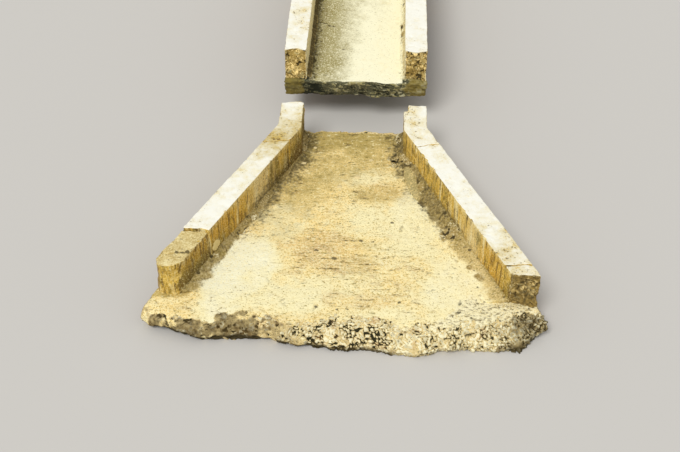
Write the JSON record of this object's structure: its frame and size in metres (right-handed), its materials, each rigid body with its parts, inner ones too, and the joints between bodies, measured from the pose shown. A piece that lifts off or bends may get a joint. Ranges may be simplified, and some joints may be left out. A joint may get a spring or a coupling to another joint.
{
  "type": "flared concrete outlet of a drainage chute",
  "caption": "Broken, settled concrete outlet of an embankment drainage chute: a slab widening between splayed wing walls, with the chute's lower bays above it.",
  "frame": {"origin": "on the bedding plane under the outlet's slab, on the centre line, where the walls start to splay", "axes": "+Y up the slope along the centre line, +X to the right looking upslope, +Z out of the bank; the bank's face is the floor, z = 0"},
  "size_m": [1.3947, 3.3306, 0.348],
  "materials": {
    "apron_concrete": "weathered cast concrete, pale yellow with brown stains, worn to the aggregate",
    "whitewashed_concrete": "cast concrete, whitewashed on top, ochre and brown streaks down the faces",
    "patched_concrete": "coarse tan concrete with dark stones, no whitewash",
    "fillet_mortar": "hand-laid grey mortar, lumpy and stained",
    "chute_concrete": "weathered cast concrete, cream and grey",
    "buried_concrete": "rough concrete cast against earth"
  },
  "bodies": {
    "root": {"apron_slab": "apron_concrete", "left_throat_wall": "whitewashed_concrete", "right_throat_wall": "whitewashed_concrete", "left_wing_wall": "whitewashed_concrete", "right_wing_wall": "whitewashed_concrete", "left_wing_end": "patched_concrete", "right_wing_end": "whitewashed_concrete", "left_throat_fillet": "fillet_mortar", "right_throat_fillet": "fillet_mortar", "left_wing_fillet": "fillet_mortar", "right_wing_fillet": "fillet_mortar", "chute_slab_1": "chute_concrete", "chute_left_wall_1": "whitewashed_concrete", "chute_right_wall_1": "whitewashed_concrete", "chute_left_fillet_1": "fillet_mortar", "chute_right_fillet_1": "fillet_mortar", "chute_anchor_1": "buried_concrete", "chute_slab_2": "chute_concrete", "chute_left_wall_2": "whitewashed_concrete", "chute_right_wall_2": "whitewashed_concrete", "chute_left_fillet_2": "fillet_mortar", "chute_right_fillet_2": "fillet_mortar", "chute_anchor_2": "buried_concrete"}
  },
  "joints": []
}
